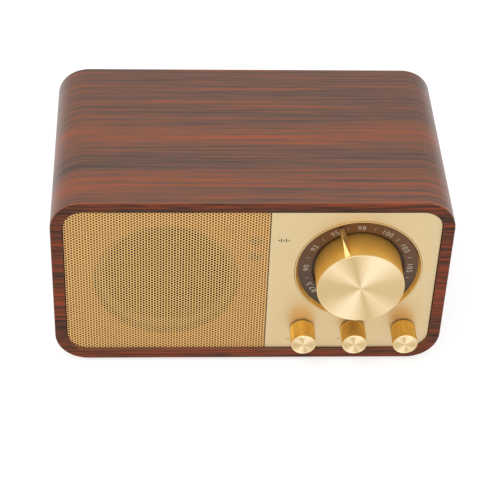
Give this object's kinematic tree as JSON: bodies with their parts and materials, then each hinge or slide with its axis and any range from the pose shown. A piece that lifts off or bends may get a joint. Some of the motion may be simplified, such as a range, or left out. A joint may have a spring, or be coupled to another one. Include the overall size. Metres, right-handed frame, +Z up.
{
  "type": "tabletop radio",
  "caption": "Small tabletop radio in a rounded wood-grain cabinet, with a gold perforated speaker grille, a brushed gold control panel, a large tuning knob over a dial, and small knurled knobs.",
  "frame": {"origin": "on the table under the centre of the whole object's bounding box, knobs included", "axes": "+X to the right seen from the front, +Y towards the back, +Z up; the dial and grille face -Y"},
  "size_m": [0.152, 0.0948, 0.082],
  "materials": {
    "wood_wrap": "satin dark reddish wood-grain wrap",
    "raw_wood": "bare sawn wood",
    "gold_mesh": "perforated steel in satin gold paint",
    "gold_panel": "long-brushed, anodised pale gold",
    "gold_metal": "turned and anodised gold",
    "dial_print": "dark brown, satin, with pale printed numerals",
    "black_plastic": "fine moulded grain",
    "rubber": "matt moulded rubber",
    "plated_steel": "zinc or nickel plated",
    "black_steel": "black-painted pressing",
    "ferrite": "dark sintered ferrite",
    "paper": "felted black paper pulp",
    "spider_cloth": "resin-stiffened woven cloth",
    "foam": "closed-cell foam",
    "copper": "enamelled winding",
    "circuit_board": "green solder resist",
    "chip_resin": "black moulding resin",
    "capacitor_sleeve": "dark shrink sleeve",
    "cell_sleeve": "blue shrink sleeve",
    "wire_insulation": "red insulation",
    "white_plastic": "natural moulding",
    "ribbon_plastic": "pale flat cable",
    "clear_resin": "diffusing resin"
  },
  "bodies": {
    "root": {"cabinet": "wood_wrap", "feet": "rubber", "front_corner_blocks": "raw_wood", "rear_corner_blocks": "raw_wood", "baffle_screws": "plated_steel", "rear_screws": "plated_steel", "front_baffle": "black_plastic", "grille": "gold_mesh", "control_panel": "gold_panel", "dial_bezel": "gold_metal", "dial_plate": "dial_print", "tuning_control": "plated_steel", "tuning_nut": "plated_steel", "control_board": "circuit_board", "control_board_screws": "plated_steel", "indicator_board": "circuit_board", "indicator_led": "clear_resin", "microphone": "plated_steel", "speaker_gasket": "foam", "speaker_basket": "black_steel", "speaker_screws": "plated_steel", "speaker_top_plate": "plated_steel", "speaker_magnet": "ferrite", "speaker_yoke": "plated_steel", "speaker_surround": "rubber", "speaker_spider": "spider_cloth", "speaker_terminals": "circuit_board", "main_board": "circuit_board", "board_standoffs": "black_plastic", "main_board_screws": "plated_steel", "receiver_chip": "chip_resin", "amplifier_chip": "chip_resin", "capacitors": "capacitor_sleeve", "charging_socket": "plated_steel", "aux_jack": "black_plastic", "rear_panel": "black_plastic", "battery_holder": "black_plastic", "battery_cell": "cell_sleeve", "speaker_leads": "wire_insulation", "battery_leads": "wire_insulation", "aerial_wire": "wire_insulation", "ribbon_connectors": "white_plastic", "control_ribbon": "ribbon_plastic", "volume_control": "plated_steel", "tone_control": "plated_steel", "function_control": "plated_steel"},
    "tuning": {"tuning_shaft": "plated_steel", "tuning_hub": "black_plastic", "tuning_knob": "gold_metal", "tuning_pointer": "gold_metal"},
    "volume": {"volume_shaft": "plated_steel", "volume_knob": "gold_metal"},
    "tone": {"tone_shaft": "plated_steel", "tone_knob": "gold_metal"},
    "function": {"function_shaft": "plated_steel", "function_knob": "gold_metal"},
    "cone": {"speaker_cone": "paper", "speaker_dust_cap": "paper", "voice_coil": "copper"}
  },
  "joints": [
    {"name": "tuning_turn", "type": "hinge", "parent": "root", "child": "tuning", "pos_m": [0.041, -0.038, 0.0479], "axis": [0, 1, 0], "range_deg": [-104, 146]},
    {"name": "volume_turn", "type": "hinge", "parent": "root", "child": "volume", "pos_m": [0.021, -0.038, 0.0173], "axis": [0, 1, 0], "range_deg": [-150, 150]},
    {"name": "tone_turn", "type": "hinge", "parent": "root", "child": "tone", "pos_m": [0.041, -0.038, 0.0173], "axis": [0, 1, 0], "range_deg": [-150, 150]},
    {"name": "function_turn", "type": "hinge", "parent": "root", "child": "function", "pos_m": [0.061, -0.038, 0.0173], "axis": [0, 1, 0], "range_deg": [-30, 30]},
    {"name": "cone_stroke", "type": "slide", "parent": "root", "child": "cone", "axis": [0, 1, 0], "range_m": [-0.001, 0.001], "stiffness_N_per_m": 1000, "deforming": ["speaker_surround", "speaker_spider"]}
  ]
}
